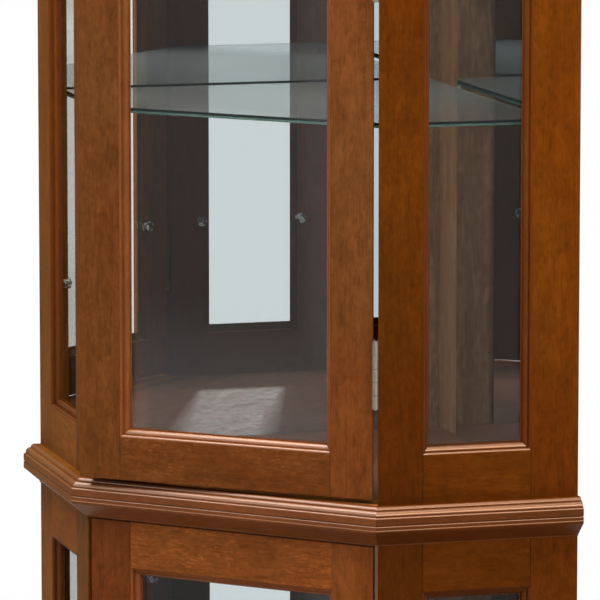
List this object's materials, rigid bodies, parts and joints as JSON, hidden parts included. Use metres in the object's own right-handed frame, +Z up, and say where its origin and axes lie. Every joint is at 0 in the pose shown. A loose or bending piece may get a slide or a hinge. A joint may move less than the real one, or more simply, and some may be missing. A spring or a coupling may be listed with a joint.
{
  "type": "corner curio cabinet",
  "caption": "Tall corner display cabinet with a canted glazed front, angled glazed sides, mirrored backs, glass shelves and a tall door over a short one, both hinged on the right.",
  "frame": {"origin": "on the floor, under the middle of the cabinet's overall width and depth", "axes": "+Z up, -Y out of the doors, +Y towards the room's corner, +X to the right as seen from the front"},
  "size_m": [0.6928, 0.5062, 1.829],
  "materials": {
    "stained_wood": "satin reddish-brown stain",
    "back_board": "matte unlacquered board",
    "glass": "clear float glass",
    "shelf_glass": "clear float glass with polished edges",
    "mirror": "silvered",
    "clear_plastic": "clear moulded",
    "dark_plastic": "moulded",
    "nickel": "satin nickel",
    "knob_metal": "antique satin"
  },
  "bodies": {
    "root": {"left_front_stile": "stained_wood", "left_rear_stile": "stained_wood", "left_bottom_rail": "stained_wood", "left_waist_rail": "stained_wood", "left_top_rail": "stained_wood", "left_upper_glass": "glass", "left_lower_glass": "glass", "left_mirrors": "mirror", "left_back_panel": "back_board", "right_front_stile": "stained_wood", "right_rear_stile": "stained_wood", "right_bottom_rail": "stained_wood", "right_waist_rail": "stained_wood", "right_top_rail": "stained_wood", "right_upper_glass": "glass", "right_lower_glass": "glass", "right_mirrors": "mirror", "right_back_panel": "back_board", "bottom_panel": "stained_wood", "waist_deck": "stained_wood", "top_panel": "stained_wood", "waist_front_rail": "stained_wood", "base_skirt_left": "stained_wood", "base_skirt_front": "stained_wood", "base_skirt_right": "stained_wood", "waist_moulding_left": "stained_wood", "waist_moulding_front": "stained_wood", "waist_moulding_right": "stained_wood", "crown_left": "stained_wood", "crown_front": "stained_wood", "crown_right": "stained_wood", "side_glazing_beads": "stained_wood", "side_glass_clips": "clear_plastic", "shelf_supports": "clear_plastic", "lower_glass_shelf": "shelf_glass", "middle_glass_shelf": "shelf_glass", "upper_glass_shelf": "shelf_glass", "hinge_frame_leaves": "nickel", "hinge_pins": "nickel", "magnetic_catches": "dark_plastic"},
    "upper_door": {"upper_door_hinge_stile": "stained_wood", "upper_door_latch_stile": "stained_wood", "upper_door_top_rail": "stained_wood", "upper_door_bottom_rail": "stained_wood", "upper_door_beads": "stained_wood", "upper_door_glass": "glass", "upper_door_glass_clips": "clear_plastic", "upper_door_hinge_leaves": "nickel", "upper_door_strike_plate": "nickel", "upper_door_knob": "knob_metal"},
    "lower_door": {"lower_door_hinge_stile": "stained_wood", "lower_door_latch_stile": "stained_wood", "lower_door_top_rail": "stained_wood", "lower_door_bottom_rail": "stained_wood", "lower_door_beads": "stained_wood", "lower_door_glass": "glass", "lower_door_glass_clips": "clear_plastic", "lower_door_hinge_leaves": "nickel", "lower_door_strike_plate": "nickel", "lower_door_knob": "knob_metal"}
  },
  "joints": [
    {"name": "upper_door_hinge", "type": "hinge", "parent": "root", "child": "upper_door", "pos_m": [0.16383, -0.2048, 1.233], "axis": [0, 0, 1], "range_deg": [-4, 166]},
    {"name": "lower_door_hinge", "type": "hinge", "parent": "root", "child": "lower_door", "pos_m": [0.16383, -0.2048, 0.379], "axis": [0, 0, 1], "range_deg": [0, 170]}
  ]
}
